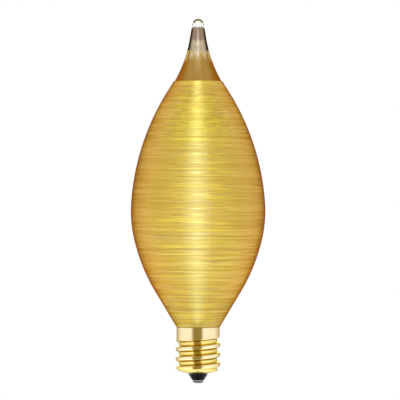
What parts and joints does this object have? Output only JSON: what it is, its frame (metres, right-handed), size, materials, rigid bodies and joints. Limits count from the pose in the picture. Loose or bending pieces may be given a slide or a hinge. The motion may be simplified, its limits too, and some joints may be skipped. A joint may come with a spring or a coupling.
{
  "type": "spun glass candle bulb",
  "caption": "Pear-shaped candle bulb with a drawn clear tip, its glass wound in amber lacquered glass fibre, on a small brass screw base.",
  "frame": {"origin": "lowest point of the centre contact, on the bulb's axis", "axes": "+Z along the bulb's axis towards its tip; +Y towards the side contact's solder"},
  "size_m": [0.0352, 0.0352, 0.0955],
  "materials": {
    "spun_glass": "satin, wound glass fibre under amber lacquer",
    "envelope_glass": "glossy, amber lacquered below its clear tip",
    "shell_brass": "polished",
    "black_glass": "glossy black glass",
    "eyelet_brass": "polished",
    "solder": "satin tin solder",
    "cement": "matt",
    "stem_glass": "clear",
    "copper_wire": "bright",
    "seal_wire": "satin, copper-clad",
    "nickel_wire": "bright",
    "molybdenum_wire": "satin",
    "tungsten_coil": "satin"
  },
  "bodies": {
    "root": {"glass_envelope": "envelope_glass", "spun_glass_wrap": "spun_glass", "screw_shell": "shell_brass", "base_insulator": "black_glass", "contact_eyelet": "eyelet_brass", "centre_solder": "solder", "side_solder": "solder", "basing_cement": "cement", "glass_stem": "stem_glass", "exhaust_tube": "stem_glass", "arbor_rod": "stem_glass", "side_lead": "copper_wire", "centre_lead": "copper_wire", "side_seal_wire": "seal_wire", "centre_seal_wire": "seal_wire", "side_filament_lead": "nickel_wire", "centre_filament_lead": "nickel_wire", "side_support": "molybdenum_wire", "centre_support": "molybdenum_wire", "filament": "tungsten_coil"}
  },
  "joints": []
}
